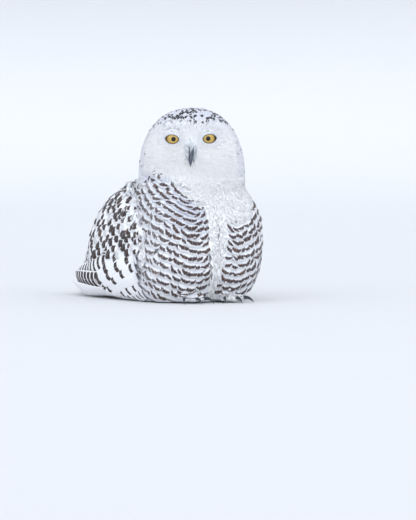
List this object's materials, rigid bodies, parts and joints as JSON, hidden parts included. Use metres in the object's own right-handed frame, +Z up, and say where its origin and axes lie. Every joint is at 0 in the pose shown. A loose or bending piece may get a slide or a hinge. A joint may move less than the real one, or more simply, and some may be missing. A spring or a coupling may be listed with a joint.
{
  "type": "snowy owl, life-size still model",
  "caption": "Life-size still model of a snowy owl resting on its belly, feet tucked under, head turned to its right, white with dark bars and golden eyes.",
  "frame": {"origin": "middle of the footprint of the model's box, on the floor", "axes": "+Z up, the body faces -Y and its tail points to +Y, the bird's left is +X"},
  "size_m": [0.2508, 0.5078, 0.3385],
  "materials": {
    "coat_white": "soft matt feathers, cool white, with dark flecks on the crown",
    "coat_barred": "soft matt feathers, white with rows of wavy dark brown bars",
    "coat_wing": "matt feathers, white with dark brown crescents and triangles",
    "flight_feathers": "smooth matt vanes, white with broken dark brown bars",
    "skin": "down under the feathers, marked as the coat over it is",
    "lid": "bare black skin round the eyes, faintly moist",
    "eye": "wet gloss, golden yellow iris with a black pupil",
    "horn": "satin black horn"
  },
  "bodies": {
    "root": {"head": "coat_white", "neck": "coat_white", "trunk": "coat_barred", "tail": "flight_feathers", "bill_upper": "horn", "bill_lower": "horn", "eye_right": "eye", "eye_left": "eye", "leg_right": "coat_white", "wing_right_coverts": "coat_wing", "wing_right_secondaries": "flight_feathers", "wing_right_primaries": "flight_feathers", "claw_right_inner": "horn", "claw_right_middle": "horn", "claw_right_outer": "horn", "claw_right_back": "horn", "leg_left": "coat_white", "wing_left_coverts": "coat_wing", "wing_left_secondaries": "flight_feathers", "wing_left_primaries": "flight_feathers", "claw_left_inner": "horn", "claw_left_middle": "horn", "claw_left_outer": "horn", "claw_left_back": "horn"}
  },
  "joints": []
}
